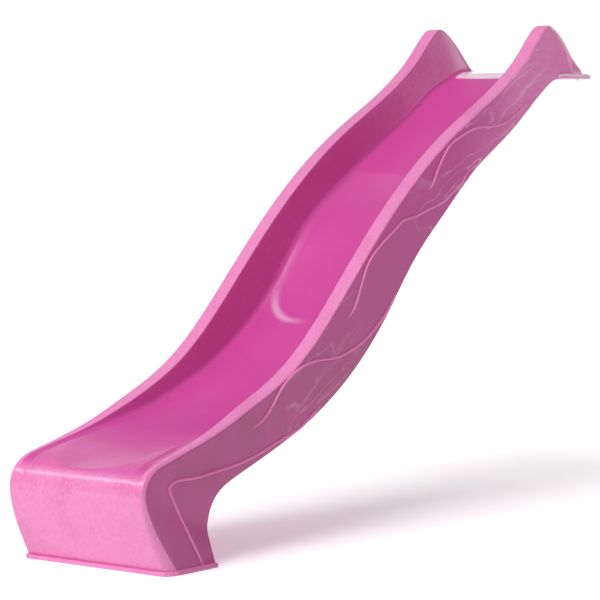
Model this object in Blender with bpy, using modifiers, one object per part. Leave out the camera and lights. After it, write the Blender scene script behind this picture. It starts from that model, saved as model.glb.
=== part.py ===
"""Wave slide for a 1.5 m play deck: one hollow polyethylene moulding and its fixings.

Frame: +Z up, the ground is Z = 0.  The chute runs down towards -Y, +X is the right-hand
side seen from the exit, and the origin is under the middle of the foot.  Metres.
"""
import math
from collections import namedtuple

import bpy
import bmesh
from mathutils import Matrix, Vector

# ---------------------------------------------------------------- driving dimensions
WIDTH = 0.520              # over the two side walls
RIM_WIDTH = 0.055          # flat top of each side wall
RIM_AT_EXIT = 0.35         # share of that width left at the exit edge
EXIT_EDGE_Y = -0.100
FULL_RIM_Y = 0.300         # the rim has its full width from here up
WALL = 0.0035              # thickness of the moulded skin
DECK_HEIGHT = 1.474        # underside of the deck flange
FLANGE_TOP = 1.490         # top of the flange beside and behind the side walls
SEAT_RISE = 0.014          # how far the seat between the walls stands above that
SEAT_CROWN = 0.006         # how much further its middle stands up
LIP_SHARE = 0.75           # lip thickness as a share of the flange, and its upper limit
LIP_THICKNESS = 0.014
FLANGE_END = 2.240         # rear edge of the deck flange
WALL_END = 2.203           # just behind the rear foot of the side walls
FLANGE_LIP = 0.010         # how far the flange stands out past each side wall
LIP_START_Y = 2.020        # the flange grows out of the wall's lower edge from here
LIP_FULL_Y = 2.100
BASE_LIP = 0.008           # turned-out lip round the bottom of the foot
BASE_LIP_HEIGHT = 0.0135
FLOOR_FILLET = 0.020       # reach of the fillet between the chute and a side wall
RIM_FILLET = 0.008         # reach of the rim's inner corner
WALL_LEAN = 0.10           # how far the inner wall leans in per metre of depth
WALL_FOOT_INSET = 0.012
SOLE_CORNER = 0.022        # reach of the rounded lower corner of a side wall
LIP_CORNER = 0.004
GAP = 0.0003               # clearance left between touching pieces

HALF = WIDTH / 2

# One rib is a straight cut across the slide, from the rim of the side walls to the sole
# under them.  floor is the depth of the chute below the rim at the foot of the side wall,
# dish is how much deeper the middle of the chute is (negative where the seat is crowned),
# nose is how far the rim's outer corner is rounded down the side, and spread is how far
# the foot stands out past the side walls.
Rib = namedtuple("Rib", "rim sole floor dish nose spread")

RIBS = [
    Rib((2.190, 1.510), (2.195, 1.474), 0.004, -0.005, 0.006, 0.000),   # rear foot of a wall
    Rib((2.160, 1.534), (2.172, 1.474), 0.030, -0.004, 0.010, 0.000),
    Rib((2.108, 1.583), (2.130, 1.474), 0.084, -0.002, 0.010, 0.000),
    Rib((2.050, 1.628), (2.092, 1.474), 0.134, 0.001, 0.010, 0.000),
    Rib((2.010, 1.650), (2.066, 1.473), 0.165, 0.003, 0.010, 0.000),
    Rib((1.979, 1.655), (2.042, 1.468), 0.178, 0.004, 0.010, 0.000),   # peak of a wall
    Rib((1.940, 1.635), (2.005, 1.457), 0.175, 0.003, 0.010, 0.000),
    Rib((1.844, 1.545), (1.928, 1.413), 0.132, 0.004, 0.010, 0.000),
    Rib((1.743, 1.470), (1.830, 1.345), 0.122, 0.005, 0.010, 0.000),
    Rib((1.640, 1.408), (1.720, 1.272), 0.121, 0.006, 0.010, 0.000),
    Rib((1.427, 1.297), (1.510, 1.149), 0.126, 0.008, 0.010, 0.000),   # first hump
    Rib((1.223, 1.170), (1.333, 1.012), 0.118, 0.010, 0.010, 0.000),
    Rib((1.035, 1.022), (1.165, 0.870), 0.114, 0.012, 0.010, 0.000),
    Rib((0.859, 0.859), (1.010, 0.699), 0.136, 0.010, 0.010, 0.000),   # second hump
    Rib((0.687, 0.692), (0.827, 0.528), 0.116, 0.008, 0.010, 0.000),
    Rib((0.498, 0.547), (0.593, 0.386), 0.072, 0.010, 0.010, 0.000),
    Rib((0.279, 0.447), (0.342, 0.288), 0.042, 0.016, 0.010, 0.000),
    Rib((0.120, 0.388), (0.205, 0.241), 0.016, 0.028, 0.012, 0.000),
    Rib((-0.010, 0.352), (0.145, 0.212), 0.008, 0.039, 0.014, 0.001),
    Rib((-0.095, 0.331), (0.113, 0.180), 0.004, 0.050, 0.018, 0.002),
    Rib((-0.150, 0.313), (0.098, 0.152), 0.002, 0.050, 0.018, 0.003),  # exit edge
    Rib((-0.187, 0.284), (0.090, 0.128), 0.002, 0.003, 0.020, 0.004),
    Rib((-0.204, 0.245), (0.087, 0.108), 0.001, 0.000, 0.024, 0.006),
    Rib((-0.200, 0.195), (0.088, 0.088), 0.001, 0.000, 0.032, 0.010),
    Rib((-0.178, 0.130), (0.091, 0.066), 0.001, 0.000, 0.044, 0.015),
    Rib((-0.148, 0.070), (0.0965, 0.038), 0.001, 0.000, 0.054, 0.020),
    Rib((-0.1156, 0.0135), (0.1013, 0.0135), 0.001, 0.000, 0.060, 0.025),  # top of the base lip
]
STEPS_PER_RIB = 2
LONGEST_REACH = 0.45       # share of an edge that one rounded corner may use
NOSE_FRONT_REACH = 0.022   # the rim's outer corner, measured across the front
CORE_FIRST_RIB = 7         # the hollow core starts under the crest of the chute

# Deck fixings: one screw at each rear corner of the flange, behind the side walls.
DECK_SCREW_X = 0.232
DECK_SCREW_Y = 2.217
DECK_SCREW_HOLE = 0.0090
DECK_BORE_LENGTH = 0.080

# Ground anchors: one steel angle on each side of the back of the foot.
ANCHOR_X = 0.120
ANCHOR_WIDTH = 0.040
ANCHOR_THICKNESS = 0.003
ANCHOR_FOOT = 0.050
ANCHOR_LEG_TOP = 0.062
ANCHOR_BOLT_HEIGHT = 0.040
ANCHOR_HOLE = 0.0090
INSERT_RADIUS = 0.0062     # threaded insert moulded into the back of the foot

PLUG_RIB = 12              # the blow hole is in the sole just below this rib
PLUG_RADIUS = 0.011
PLUG_STEM = 0.0080
STEM_CLEARANCE = 0.0005
DRAIN_RADIUS = 0.005
DRAIN_X = 0.150
BORE_LENGTH = 0.030        # length of the cutters for the smaller holes

COLOURS = {
    "pink_polyethylene": ((0.68, 0.10, 0.36), 0.38, 0.0),
    "zinc_steel": ((0.60, 0.61, 0.63), 0.35, 1.0),
}


# ---------------------------------------------------------------- scene and materials
def clear_scene():
    for old in list(bpy.data.objects):
        bpy.data.objects.remove(old, do_unlink=True)


def new_collection(name):
    collection = bpy.data.collections.new(name)
    bpy.context.scene.collection.children.link(collection)
    return collection


def make_material(name):
    colour, roughness, metallic = COLOURS[name]
    material = bpy.data.materials.new(name)
    material.use_nodes = True
    shader = material.node_tree.nodes["Principled BSDF"]
    shader.inputs["Base Color"].default_value = (*colour, 1.0)
    shader.inputs["Roughness"].default_value = roughness
    shader.inputs["Metallic"].default_value = metallic
    return material


def add_object(name, mesh, collection, material=None):
    obj = bpy.data.objects.new(name, mesh)
    collection.objects.link(obj)
    if material is not None:
        mesh.materials.clear()
        mesh.materials.append(material)
    return obj


def hide_cutter(obj):
    obj.hide_render = True
    obj.display_type = "WIRE"


def cut(target, cutter):
    boolean = target.modifiers.new("cut " + cutter.name, "BOOLEAN")
    boolean.operation = "DIFFERENCE"
    boolean.solver = "EXACT"
    boolean.object = cutter


def smooth(obj, angle=40.0):
    obj.data.shade_smooth()
    obj.data.set_sharp_from_angle(angle=math.radians(angle))


# ---------------------------------------------------------------- curves and rings
def catmull(values, index, t):
    """Catmull-Rom value between values[index] and values[index + 1]."""
    last = len(values) - 1
    a = values[max(index - 1, 0)]
    b = values[index]
    c = values[index + 1]
    d = values[min(index + 2, last)]
    bend = (2 * a - 5 * b + 4 * c - d) * t * t + (3 * b - a - 3 * c + d) * t ** 3
    return b + 0.5 * ((c - a) * t + bend)


def rib_between(index, t):
    """The rib at fraction t of the way from rib number index to the next one."""
    def at(pick):
        return catmull([pick(rib) for rib in RIBS], index, t)

    def along(pick):
        low, high = pick(RIBS[index]), pick(RIBS[index + 1])
        return low + (high - low) * t

    return Rib(
        (at(lambda rib: rib.rim[0]), at(lambda rib: rib.rim[1])),
        (at(lambda rib: rib.sole[0]), at(lambda rib: rib.sole[1])),
        along(lambda rib: rib.floor),
        along(lambda rib: rib.dish),
        along(lambda rib: rib.nose),
        along(lambda rib: rib.spread),
    )


def all_ribs(first=0):
    """Every cross-cut of the loft, from rib number first down to the base."""
    cuts = []
    for index in range(first, len(RIBS) - 1):
        for step in range(STEPS_PER_RIB):
            cuts.append(rib_between(index, step / STEPS_PER_RIB))
    cuts.append(RIBS[-1])
    return cuts


def rounded(before, corner, after, reach, segments, reach_after=None):
    """Points of a rounded corner that starts and ends at most reach from the corner.

    reach_after is the reach along the edge that leaves the corner, where it differs.
    """
    to_before = before - corner
    to_after = after - corner
    reach_in = min(reach, LONGEST_REACH * to_before.length)
    reach_out = min(reach_after or reach, LONGEST_REACH * to_after.length)
    start = corner + to_before.normalized() * reach_in
    end = corner + to_after.normalized() * reach_out
    turn = math.pi - to_before.angle(to_after)
    weight = math.cos(turn / 2)
    points = []
    for step in range(segments + 1):
        t = step / segments
        a, b, c = (1 - t) ** 2, 2 * t * (1 - t) * weight, t * t
        points.append((start * a + corner * b + end * c) / (a + b + c))
    return points


def half_ring(rib, lip=0.0, skin=0.0):
    """Right half of one cross-cut: (across, down) from mid-floor round to mid-sole.

    With a skin thickness it gives the outline of the hollow inside that skin.
    """
    depth = math.dist(rib.rim, rib.sole) - skin
    lip_top = depth - min(LIP_THICKNESS, LIP_SHARE * depth)
    side = HALF + rib.spread - skin
    run_out = (rib.rim[0] - EXIT_EDGE_Y) / (FULL_RIM_Y - EXIT_EDGE_Y)
    rim_share = RIM_AT_EXIT + (1 - RIM_AT_EXIT) * min(1.0, max(0.0, run_out))
    rim_edge = HALF - RIM_WIDTH * rim_share + skin
    floor_edge = rim_edge - WALL_FOOT_INSET - WALL_LEAN * rib.floor
    floor = rib.floor + skin
    middle = Vector((0.0, floor))
    chute = Vector((floor_edge, floor))
    rim_inner = Vector((rim_edge, skin))
    rim_outer = Vector((side, skin))
    shoulder = Vector((side, lip_top))
    lip_edge = Vector((side + lip, lip_top))
    toe = Vector((side + lip, depth))
    sole = Vector((0.0, depth))
    front_reach = min(rib.nose, NOSE_FRONT_REACH)
    toe_reach = SOLE_CORNER + (LIP_CORNER - SOLE_CORNER) * lip / FLANGE_LIP
    points = []
    for step in range(3):
        t = step / 3
        points.append(Vector((floor_edge * t, floor + rib.dish * (1 - t * t))))
    points += rounded(middle, chute, rim_inner, FLOOR_FILLET, 3)
    points += rounded(chute, rim_inner, rim_outer, RIM_FILLET, 2)
    points += rounded(rim_inner, rim_outer, shoulder, front_reach, 3, rib.nose)
    points.append(shoulder - Vector((0.0, 0.002)))
    points.append(lip_edge)
    points += rounded(lip_edge, toe, sole, toe_reach, 3)
    points.append(Vector((0.5 * side, depth)))
    points.append(sole)
    return points


def place_ring(half, rib):
    """Full closed ring in space from a half outline: the left side mirrors the right."""
    rim_y, rim_z = rib.rim
    depth = math.dist(rib.rim, rib.sole)
    step_y = (rib.sole[0] - rim_y) / depth
    step_z = (rib.sole[1] - rim_z) / depth
    ring = []
    for point in half:
        ring.append(Vector((point.x, rim_y + step_y * point.y, rim_z + step_z * point.y)))
    for point in reversed(half[1:-1]):
        ring.append(Vector((-point.x, rim_y + step_y * point.y, rim_z + step_z * point.y)))
    return ring


def loft(name, rings):
    """Closed mesh through rings of equal length, capped at both ends."""
    bm = bmesh.new()
    rows = [[bm.verts.new(point) for point in ring] for ring in rings]
    count = len(rows[0])
    for upper, lower in zip(rows, rows[1:]):
        for index in range(count):
            following = (index + 1) % count
            bm.faces.new((upper[index], upper[following], lower[following], lower[index]))
    bm.faces.new(rows[0][::-1])
    bm.faces.new(rows[-1])
    bmesh.ops.recalc_face_normals(bm, faces=bm.faces)
    mesh = bpy.data.meshes.new(name)
    bm.to_mesh(mesh)
    bm.free()
    return mesh


def grown(ring, amount):
    """A ring of the foot moved outwards in plan by amount, for the base lip."""
    middle = sum(ring, Vector()) / len(ring)
    count = len(ring)
    moved = []
    for index, point in enumerate(ring):
        along = ring[(index + 1) % count] - ring[index - 1]
        outward = Vector((along.y, -along.x, 0.0)).normalized()
        if outward.dot(point - middle) < 0:
            outward = -outward
        moved.append(point + outward * amount)
    return moved


# ---------------------------------------------------------------- the moulding
def body_rings():
    """Outer skin: deck flange, walls and chute, foot and base lip."""
    end = Rib(
        (FLANGE_END, FLANGE_TOP), (FLANGE_END, DECK_HEIGHT), -SEAT_RISE, -SEAT_CROWN, 0.0015, 0.0
    )
    near = end._replace(rim=(WALL_END, FLANGE_TOP), sole=(WALL_END, DECK_HEIGHT))
    rings = [place_ring(half_ring(rib, lip=FLANGE_LIP), rib) for rib in (end, near)]
    for rib in all_ribs():
        grown_out = (rib.sole[0] - LIP_START_Y) / (LIP_FULL_Y - LIP_START_Y)
        lip = FLANGE_LIP * min(1.0, max(0.0, grown_out))
        rings.append(place_ring(half_ring(rib, lip=lip), rib))
    last = rings[-1]
    rings.append(grown(last, BASE_LIP))
    rings.append([Vector((point.x, point.y, 0.0)) for point in rings[-1]])
    return rings


def core_rings():
    """The hollow inside, one skin thickness within the outer surface."""
    rings = []
    for rib in all_ribs(CORE_FIRST_RIB):
        if rib.rim[1] > WALL + BASE_LIP_HEIGHT:
            rings.append(place_ring(half_ring(rib, skin=WALL), rib))
    floor = RIBS[-1]
    last = place_ring(half_ring(floor, skin=WALL), floor)
    rings.append([Vector((point.x, point.y, WALL)) for point in last])
    return rings


def cylinder(name, radius, length, centre, direction, collection, sides=24):
    """Round bar as a closed mesh, centred on centre along direction."""
    bm = bmesh.new()
    bmesh.ops.create_cone(
        bm, cap_ends=True, segments=sides, radius1=radius, radius2=radius, depth=length
    )
    mesh = bpy.data.meshes.new(name)
    bm.to_mesh(mesh)
    bm.free()
    obj = add_object(name, mesh, collection)
    turn = Vector((0.0, 0.0, 1.0)).rotation_difference(Vector(direction))
    obj.matrix_world = Matrix.Translation(centre) @ turn.to_matrix().to_4x4()
    return obj


def facet_frame(rib_number):
    """Middle of a facet under the chute: a point, its outward and its uphill direction."""
    lower = rib_between(rib_number, 1 / STEPS_PER_RIB).sole
    upper = RIBS[rib_number].sole
    point = Vector((0.0, (lower[0] + upper[0]) / 2, (lower[1] + upper[1]) / 2))
    uphill = Vector((0.0, upper[0] - lower[0], upper[1] - lower[1])).normalized()
    outward = Vector((0.0, uphill.z, -uphill.y))
    return point, outward, uphill


def back_wall_at(height):
    """Point of the straight lower back of the foot at a height, outward and upward."""
    low = Vector((0.0, *RIBS[-1].sole))
    high = Vector((0.0, *RIBS[-2].sole))
    upward = (high - low).normalized()
    outward = Vector((0.0, upward.z, -upward.y))
    return low + upward * (height - low.z) / upward.z, outward, upward


def make_body(parts, cutters, material):
    body = add_object("slide_body", loft("slide_body", body_rings()), parts, material)
    core = add_object("core_cutter", loft("core_cutter", core_rings()), cutters)
    hide_cutter(core)
    cut(body, core)
    bores = []
    for side in (-1, 1):
        centre = Vector((side * DECK_SCREW_X, DECK_SCREW_Y, DECK_HEIGHT))
        bores.append(("deck_bore", DECK_SCREW_HOLE / 2, DECK_BORE_LENGTH, centre, (0, 0, 1)))
        centre, outward, _ = back_wall_at(ANCHOR_BOLT_HEIGHT)
        centre.x = side * ANCHOR_X
        bores.append(("anchor_bore", INSERT_RADIUS + GAP, BORE_LENGTH, centre, outward))
        centre = Vector((side * DRAIN_X, 0.0, 0.0))
        bores.append(("drain_bore", DRAIN_RADIUS, BORE_LENGTH, centre, (0, 0, 1)))
    point, outward, _ = facet_frame(PLUG_RIB)
    bores.append(("plug_bore", PLUG_STEM + STEM_CLEARANCE, BORE_LENGTH, point, outward))
    for number, (name, radius, length, centre, direction) in enumerate(bores):
        bore = cylinder(f"{name}_{number}", radius, length, centre, direction, cutters)
        hide_cutter(bore)
        cut(body, bore)
    smooth(body, 30.0)
    return body


# ---------------------------------------------------------------- turned pieces
def turned(name, profile, collection, material, steps=24):
    """Solid of revolution about Z from (radius, height) points, listed top to bottom."""
    mesh = bpy.data.meshes.new(name)
    points = [(radius, 0.0, height) for radius, height in profile]
    mesh.from_pydata(points, [(i, i + 1) for i in range(len(points) - 1)], [])
    obj = add_object(name, mesh, collection, material)
    screw = obj.modifiers.new("turn", "SCREW")
    screw.steps = steps
    screw.render_steps = steps
    screw.use_merge_vertices = True
    screw.merge_threshold = 0.00005
    screw.use_smooth_shade = True
    return obj


def tube_profile(outer, inner, low, high, chamfer=0.0006):
    """Closed profile of a washer-like ring, run down its outer side first."""
    return [
        (inner, high),
        (outer - chamfer, high),
        (outer, high - chamfer),
        (outer, low + chamfer),
        (outer - chamfer, low),
        (inner, low),
        (inner, high),
    ]


def aim(obj, point, direction):
    """Put a turned piece's own Z axis through point, along direction."""
    turn = Vector((0.0, 0.0, 1.0)).rotation_difference(Vector(direction))
    obj.matrix_world = Matrix.Translation(point) @ turn.to_matrix().to_4x4()


def hex_recess(name, across_flats, depth, top, collection):
    """Six-sided cutter for a socket, sunk depth below top in the piece's own frame."""
    bm = bmesh.new()
    radius = across_flats / math.sqrt(3)
    bmesh.ops.create_cone(
        bm, cap_ends=True, segments=6, radius1=radius, radius2=radius, depth=2 * depth
    )
    bmesh.ops.translate(bm, verts=bm.verts, vec=(0.0, 0.0, top))
    mesh = bpy.data.meshes.new(name)
    bm.to_mesh(mesh)
    bm.free()
    obj = add_object(name, mesh, collection)
    hide_cutter(obj)
    return obj


# ---------------------------------------------------------------- deck fixings
def make_deck_fixing(side_name, side, parts, cutters, pink, steel):
    seat = Vector((side * DECK_SCREW_X, DECK_SCREW_Y, FLANGE_TOP + GAP))
    up = (0.0, 0.0, 1.0)
    washer_top = 0.0016
    washer = turned(
        f"deck_washer_{side_name}", tube_profile(0.0090, 0.0043, 0.0, washer_top, 0.0003),
        parts, steel,
    )
    aim(washer, seat, up)
    head_low = washer_top + GAP
    head_top = head_low + 0.0046
    screw = turned(
        f"deck_screw_{side_name}",
        [
            (0.0, head_top), (0.0045, head_top - 0.0002), (0.0066, head_top - 0.0016),
            (0.0074, head_low + 0.0010), (0.0074, head_low), (0.0038, head_low),
            (0.0038, -0.0170), (0.0030, -0.0200), (0.0, -0.0245),
        ],
        parts, steel,
    )
    aim(screw, seat, up)
    socket = hex_recess(f"socket_{side_name}", 0.0050, 0.0026, head_top, cutters)
    socket.matrix_world = screw.matrix_world
    cut(screw, socket)
    cap_inner = 0.0095
    cap = turned(
        f"deck_screw_cap_{side_name}",
        [
            (0.0, 0.0092), (0.0060, 0.0088), (0.0096, 0.0066), (0.0110, 0.0030),
            (0.0112, 0.0), (cap_inner, 0.0), (cap_inner, 0.0036), (0.0084, 0.0060),
            (0.0050, 0.0074), (0.0, 0.0076),
        ],
        parts, pink,
    )
    aim(cap, seat, up)


# ---------------------------------------------------------------- ground anchors
def make_anchor_bracket(side_name, side, parts, cutters, steel):
    """Joggled steel angle: up the back of the foot, over the base lip, along the ground."""
    half_plate = ANCHOR_THICKNESS / 2
    wall_clear = half_plate + 0.0006
    lip_clear = BASE_LIP + half_plate + 0.0008
    leg_top, outward, _ = back_wall_at(ANCHOR_LEG_TOP)
    leg_low, _, _ = back_wall_at(BASE_LIP_HEIGHT + 0.0075)
    lip_edge = RIBS[-1].sole[0] + lip_clear
    centre_line = [
        leg_top + outward * wall_clear,
        leg_low + outward * wall_clear,
        Vector((0.0, lip_edge, BASE_LIP_HEIGHT + 0.0028)),
        Vector((0.0, lip_edge, half_plate + GAP)),
        Vector((0.0, lip_edge + ANCHOR_FOOT, half_plate + GAP)),
    ]
    bm = bmesh.new()
    half = Vector((ANCHOR_WIDTH / 2, 0.0, 0.0))
    rows = [[bm.verts.new(p - half), bm.verts.new(p + half)] for p in centre_line]
    for upper, lower in zip(rows, rows[1:]):
        bm.faces.new((upper[0], upper[1], lower[1], lower[0]))
    name = f"ground_anchor_{side_name}"
    mesh = bpy.data.meshes.new(name)
    bm.to_mesh(mesh)
    bm.free()
    bracket = add_object(name, mesh, parts, steel)
    bracket.location = (side * ANCHOR_X, 0.0, 0.0)
    thickness = bracket.modifiers.new("plate", "SOLIDIFY")
    thickness.thickness = ANCHOR_THICKNESS
    thickness.offset = 0.0
    thickness.use_even_offset = True
    bolt_point, outward, _ = back_wall_at(ANCHOR_BOLT_HEIGHT)
    peg_point = centre_line[-1] - Vector((0.0, 0.018, 0.0))
    for which, centre, direction in (("leg", bolt_point, outward), ("toe", peg_point, (0, 0, 1))):
        centre.x = side * ANCHOR_X
        hole = cylinder(
            f"{which}_hole_{side_name}", ANCHOR_HOLE / 2, BORE_LENGTH, centre, direction, cutters
        )
        hide_cutter(hole)
        cut(bracket, hole)
    return bolt_point, outward


def make_anchor_fixing(side_name, side, parts, cutters, steel):
    bolt_point, outward = make_anchor_bracket(side_name, side, parts, cutters, steel)
    outer_face = ANCHOR_THICKNESS + 0.0006 + GAP
    washer = turned(
        f"anchor_washer_{side_name}",
        tube_profile(0.0090, 0.0043, outer_face, outer_face + 0.0016, 0.0003), parts, steel,
    )
    aim(washer, bolt_point, outward)
    head_low = outer_face + 0.0016 + GAP
    bolt = turned(
        f"anchor_bolt_{side_name}",
        [
            (0.0, head_low + 0.0050), (0.0040, head_low + 0.0048),
            (0.0070, head_low + 0.0024), (0.0074, head_low), (0.0036, head_low),
            (0.0036, -0.0190), (0.0030, -0.0200), (0.0, -0.0200),
        ],
        parts, steel,
    )
    aim(bolt, bolt_point, outward)
    socket = hex_recess(f"bolt_socket_{side_name}", 0.0050, 0.0028, head_low + 0.0050, cutters)
    socket.matrix_world = bolt.matrix_world
    cut(bolt, socket)
    insert = turned(
        f"anchor_insert_{side_name}",
        tube_profile(INSERT_RADIUS, 0.0040, -0.0170, 0.0, 0.0006),
        parts, steel,
    )
    aim(insert, bolt_point, outward)


def make_blow_hole_plug(parts, pink):
    point, outward, _ = facet_frame(PLUG_RIB)
    plug = turned(
        "blow_hole_plug",
        [
            (0.0, 0.0030), (PLUG_RADIUS - 0.003, 0.0028), (PLUG_RADIUS, 0.0012),
            (PLUG_RADIUS, GAP), (PLUG_STEM, GAP), (PLUG_STEM, -0.0080), (0.0074, -0.0095),
            (0.0, -0.0095),
        ],
        parts, pink,
    )
    aim(plug, point, outward)


def main():
    clear_scene()
    parts = new_collection("wave_slide")
    cutters = new_collection("wave_slide_cutters")
    pink = make_material("pink_polyethylene")
    steel = make_material("zinc_steel")
    make_body(parts, cutters, pink)
    for side_name, side in (("left", -1), ("right", 1)):
        make_deck_fixing(side_name, side, parts, cutters, pink, steel)
        make_anchor_fixing(side_name, side, parts, cutters, steel)
    make_blow_hole_plug(parts, pink)


main()
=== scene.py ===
"""Looks of the wave slide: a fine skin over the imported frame, its materials, a pale studio and the camera.

Frame: +Z up, the ground is Z = 0, the chute runs down towards -Y, +X is the right-hand side
seen from the exit.  Metres.
"""
import math

import bpy
import numpy as np
from mathutils import Matrix, Vector
from mathutils.kdtree import KDTree


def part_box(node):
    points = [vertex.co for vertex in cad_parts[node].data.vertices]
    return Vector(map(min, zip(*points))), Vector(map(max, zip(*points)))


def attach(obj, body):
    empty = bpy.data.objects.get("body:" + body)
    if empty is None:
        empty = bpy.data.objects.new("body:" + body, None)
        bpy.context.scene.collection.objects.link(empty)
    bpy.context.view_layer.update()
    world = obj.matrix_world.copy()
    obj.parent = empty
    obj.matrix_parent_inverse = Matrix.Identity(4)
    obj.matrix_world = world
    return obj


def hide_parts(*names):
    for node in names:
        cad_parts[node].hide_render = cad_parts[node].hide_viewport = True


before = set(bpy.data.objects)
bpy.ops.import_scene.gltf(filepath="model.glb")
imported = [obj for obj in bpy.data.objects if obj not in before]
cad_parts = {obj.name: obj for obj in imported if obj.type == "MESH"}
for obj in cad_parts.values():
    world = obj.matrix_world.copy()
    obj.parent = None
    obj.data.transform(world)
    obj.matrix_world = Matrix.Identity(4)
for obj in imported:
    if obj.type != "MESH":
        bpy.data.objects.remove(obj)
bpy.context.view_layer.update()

# ---------------------------------------------------------------- driving dimensions
body_low, body_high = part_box("slide_body")
WIDTH = 0.520
HALF = WIDTH / 2
RIM_WIDTH = 0.055
RIM_AT_EXIT = 0.35         # share of the rim's width left at the exit edge
EXIT_EDGE_Y = -0.100
FULL_RIM_Y = 0.300
DECK_HEIGHT = 1.474
FLANGE_TOP = 1.490
SEAT_RISE = 0.018          # the seat stands this much above the flange beside it
SEAT_CROWN = 0.006         # and its middle this much above that
FLANGE_END = body_high.y
WALL_END = 2.203
FLANGE_LIP = 0.010
NOSE_REACH = 0.022         # the rim's outer corner, measured across the rim
BEVEL_NARROWING = 0.017    # how much less that is on the rear flank, which has a slanting bevel
SEAT_FRONT_Y = 2.012       # the worn seat ends here, where the chute drops away
LIP_THICKNESS = 0.014
LIP_SHARE = 0.75
BASE_LIP = 0.008
BASE_LIP_HEIGHT = 0.0135
LIP_START_Y = 2.020        # the flange grows out of the wall's lower edge from here
LIP_FULL_Y = 2.100

# One rib is a straight cut across the slide, from the rim of the side walls to the sole.
# Eight of the nine ribs between y = 0.27 and y = 1.75 are, within a few millimetres, values that
# a separate script printed when it cast edges of the photo onto the side plane.  The others were
# moved against the photo.
# columns: rim y, rim z, sole y, sole z, floor depth, dish, nose radius, spread of the foot
RIBS = np.array([
    (2.190, 1.510, 2.195, 1.474, 0.004, -0.005, 0.014, 0.000),   # rear foot of a wall
    (2.160, 1.534, 2.172, 1.474, 0.030, -0.004, 0.032, 0.000),
    (2.108, 1.583, 2.130, 1.474, 0.084, -0.002, 0.034, 0.000),
    (2.050, 1.628, 2.092, 1.474, 0.134, 0.001, 0.024, 0.000),
    (2.010, 1.650, 2.066, 1.473, 0.165, 0.003, 0.012, 0.000),
    (1.979, 1.655, 2.042, 1.468, 0.178, 0.004, 0.010, 0.000),   # peak of a wall
    (1.940, 1.635, 2.005, 1.457, 0.175, 0.003, 0.009, 0.000),
    (1.844, 1.545, 1.928, 1.413, 0.132, 0.004, 0.009, 0.000),
    (1.743, 1.470, 1.830, 1.345, 0.122, 0.005, 0.009, 0.000),
    (1.640, 1.408, 1.720, 1.272, 0.121, 0.006, 0.009, 0.000),
    (1.427, 1.297, 1.510, 1.149, 0.126, 0.008, 0.009, 0.000),   # first hump
    (1.223, 1.170, 1.333, 1.012, 0.118, 0.010, 0.009, 0.000),
    (1.035, 1.022, 1.165, 0.870, 0.114, 0.012, 0.009, 0.000),
    (0.859, 0.859, 1.010, 0.699, 0.136, 0.010, 0.009, 0.000),   # second hump
    (0.687, 0.692, 0.827, 0.528, 0.116, 0.008, 0.009, 0.000),
    (0.498, 0.547, 0.593, 0.386, 0.072, 0.010, 0.009, 0.000),
    (0.279, 0.447, 0.342, 0.288, 0.042, 0.016, 0.009, 0.000),
    (0.120, 0.388, 0.205, 0.241, 0.016, 0.028, 0.010, 0.000),
    (-0.010, 0.352, 0.145, 0.212, 0.008, 0.039, 0.012, 0.001),
    (-0.095, 0.331, 0.113, 0.180, 0.004, 0.050, 0.018, 0.002),
    (-0.150, 0.313, 0.098, 0.152, 0.002, 0.050, 0.018, 0.003),  # exit edge
    (-0.187, 0.284, 0.090, 0.128, 0.002, 0.003, 0.020, 0.004),
    (-0.204, 0.245, 0.087, 0.108, 0.001, 0.000, 0.024, 0.006),
    (-0.200, 0.195, 0.088, 0.088, 0.001, 0.000, 0.032, 0.010),
    (-0.178, 0.130, 0.091, 0.066, 0.001, 0.000, 0.044, 0.015),
    (-0.148, 0.070, 0.0965, 0.038, 0.001, 0.000, 0.054, 0.020),
    (-0.1156, 0.0135, 0.1013, 0.0135, 0.001, 0.000, 0.060, 0.025),  # top of the base lip
])
RING_SPACING = 0.0030      # distance between cuts along the rim
BED_COLUMNS = 44           # points over each stretch of half a cross-cut
FILLET_COLUMNS = 13
WALL_COLUMNS = 6
CREST_COLUMNS = 7
RIM_COLUMNS = 7
CORNER_COLUMNS = 11
SIDE_COLUMNS = 54
TIP_COLUMNS = 5
HEEL_COLUMNS = 9
SOLE_COLUMNS = 11

# Embossed wave lines on a side face, as (y, z) points they pass through.  All but the first point
# are values that a separate script printed when it cast points of the photo onto the side plane.
WAVE_LINES = [
    [(0.040, 0.012), (0.0, 0.089), (-0.083, 0.238), (-0.086, 0.252), (-0.072, 0.262),
     (-0.050, 0.269), (0.031, 0.269), (0.127, 0.277), (0.225, 0.287), (0.326, 0.307),
     (0.428, 0.337), (0.533, 0.368), (0.603, 0.405), (0.644, 0.429)],
    [(0.311, 0.391), (0.374, 0.424), (0.428, 0.481), (0.482, 0.526), (0.537, 0.553),
     (0.628, 0.571), (0.711, 0.572), (0.795, 0.588), (0.881, 0.621), (0.962, 0.674),
     (1.006, 0.713), (1.050, 0.760)],
    [(0.784, 0.690), (0.816, 0.720), (0.842, 0.763), (0.863, 0.807), (0.885, 0.847),
     (0.917, 0.884), (0.982, 0.930), (1.054, 0.973), (1.087, 0.992), (1.161, 1.006),
     (1.241, 1.028), (1.328, 1.053), (1.381, 1.085), (1.434, 1.118), (1.476, 1.164)],
    [(1.240, 1.087), (1.269, 1.129), (1.292, 1.165), (1.321, 1.202), (1.362, 1.238),
     (1.421, 1.265), (1.493, 1.289), (1.578, 1.299), (1.647, 1.303), (1.715, 1.321),
     (1.785, 1.353), (1.862, 1.395)],
]
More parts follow.
